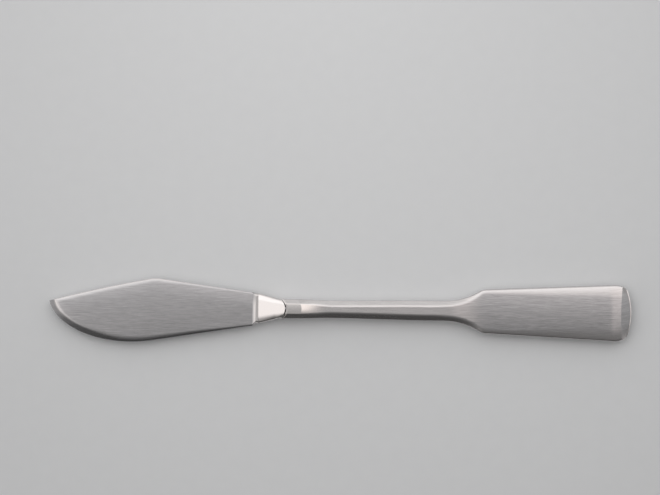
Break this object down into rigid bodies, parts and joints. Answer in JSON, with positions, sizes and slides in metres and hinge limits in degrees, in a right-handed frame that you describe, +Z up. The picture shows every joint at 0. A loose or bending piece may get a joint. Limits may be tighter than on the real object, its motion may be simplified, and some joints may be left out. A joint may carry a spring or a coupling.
{
  "type": "butter knife",
  "caption": "All-steel butter knife with a pointed spatula blade, a faceted polished bolster and a slim faceted neck that flares into a flat spade handle.",
  "frame": {"origin": "under the middle of the knife's outline, on the plane of the flat land under the neck that it lies on", "axes": "+X from the blade's tip to the handle's end, +Y from the edge to the back, +Z up out of the side that faces the viewer"},
  "size_m": [0.17, 0.0188, 0.0054],
  "materials": {
    "blade_steel": "brushed along the blade",
    "bolster_steel": "polished steel",
    "handle_steel": "satin, brushed along the handle",
    "braze": "as cast silver braze"
  },
  "bodies": {
    "root": {"blade": "blade_steel", "bolster": "bolster_steel", "tang_braze": "braze", "handle": "handle_steel"}
  },
  "joints": []
}
